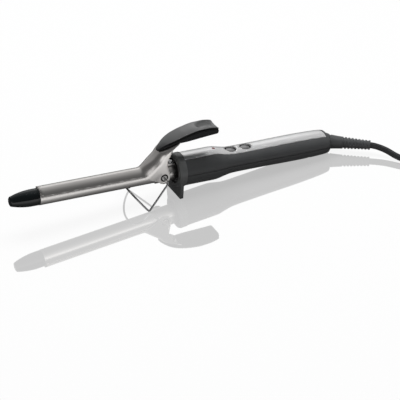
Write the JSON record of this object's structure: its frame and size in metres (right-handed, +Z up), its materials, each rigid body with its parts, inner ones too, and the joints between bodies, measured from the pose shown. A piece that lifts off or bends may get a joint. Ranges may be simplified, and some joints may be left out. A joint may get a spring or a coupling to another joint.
{
  "type": "curling_iron",
  "caption": "Curling iron with a slim satin metal barrel, a sprung clip with a black thumb lever, a fold-out wire stand, a dark oval handle with a silver top strip, and a swivel mains lead",
  "frame": {"origin": "on the floor under the middle of the iron's length, measured without the lead", "axes": "+X from the tip to the tail along the floor, +Y to the side away from the cord boot, +Z up; the iron rests tip up by 4.35 degrees on its stand, guard and tail"},
  "size_m": [0.5532, 0.1025, 0.0644],
  "materials": {
    "satin_metal": "satin plated, warm grey",
    "black_gloss": "glossy moulded",
    "black_satin": "satin moulded",
    "heater_aluminium": "as extruded",
    "ceramic": "fired ceramic, matt",
    "film": "amber film",
    "sensor_glass": "glass bead and tube",
    "wire_sleeve": "woven glass sleeve",
    "rivet_steel": "turned, plated",
    "screw_steel": "zinc plated",
    "spring_steel": "tempered strip",
    "chrome_wire": "bright plated",
    "bush_plastic": "heat-proof moulding",
    "dark_housing": "satin moulded, dark grey",
    "silver_cover": "silver satin lacquer",
    "board_green": "solder mask",
    "sleeve_blue": "shrink sleeve",
    "lens_red": "clear red moulding",
    "button_grey": "silver lacquered, dished",
    "boot_rubber": "matt soft plastic",
    "cord_rubber": "matt soft plastic",
    "tie_plastic": "soft band",
    "plug_plastic": "moulded-on plug",
    "pin_brass": "nickel-plated brass"
  },
  "bodies": {
    "handle": {"barrel_tube": "satin_metal", "tip_cap": "black_gloss", "heater_upper_shell": "heater_aluminium", "heater_lower_shell": "heater_aluminium", "ceramic_heater": "ceramic", "heater_film": "film", "thermistor": "sensor_glass", "thermal_fuse": "ceramic", "heater_leads": "wire_sleeve", "pivot_bracket": "satin_metal", "pivot_rivets": "rivet_steel", "clip_spring": "spring_steel", "spring_screw": "screw_steel", "guard_collar": "black_satin", "heat_bush": "bush_plastic", "lower_housing": "dark_housing", "upper_housing": "dark_housing", "top_cover": "silver_cover", "housing_screws": "screw_steel", "circuit_board": "board_green", "board_screws": "screw_steel", "button_switches": "black_satin", "control_chip": "black_satin", "supply_capacitor": "sleeve_blue", "indicator_led": "lens_red", "indicator_lens": "lens_red", "cord_clamp": "bush_plastic", "inner_cord": "cord_rubber", "supply_leads": "wire_sleeve", "cord_lead": "cord_rubber", "cord_end": "cord_rubber", "cord_coil": "cord_rubber", "cord_tie": "tie_plastic", "plug_body": "plug_plastic", "plug_pins": "pin_brass"},
    "clip": {"clip_spoon": "satin_metal", "thumb_lever": "black_satin", "lever_screws": "screw_steel"},
    "stand": {"wire_stand": "chrome_wire"},
    "button_front": {"front_button": "button_grey"},
    "button_rear": {"rear_button": "button_grey"},
    "swivel": {"swivel_boot": "boot_rubber"}
  },
  "joints": [
    {"name": "clip_hinge", "type": "hinge", "parent": "handle", "child": "clip", "pos_m": [-0.01612, 0, 0.02378], "axis": [0, 1, 0], "range_deg": [0, 18], "stiffness_Nm_per_rad": 0.6, "springref_deg": -20.05, "deforming": ["clip_spring"]},
    {"name": "stand_fold", "type": "hinge", "parent": "handle", "child": "stand", "pos_m": [-0.01612, 0, 0.02378], "axis": [0, -1, 0], "range_deg": [0, 125]},
    {"name": "front_button_press", "type": "slide", "parent": "handle", "child": "button_front", "axis": [-0.0758, 0, -0.9971], "range_m": [0, 0.0006], "stiffness_N_per_m": 400},
    {"name": "rear_button_press", "type": "slide", "parent": "handle", "child": "button_rear", "axis": [-0.0758, 0, -0.9971], "range_m": [0, 0.0006], "stiffness_N_per_m": 400},
    {"name": "boot_swivel", "type": "hinge", "parent": "handle", "child": "swivel", "pos_m": [0.15888, 0, 0.01047], "axis": [0.8285, -0.5589, -0.0349], "continuous": true}
  ]
}
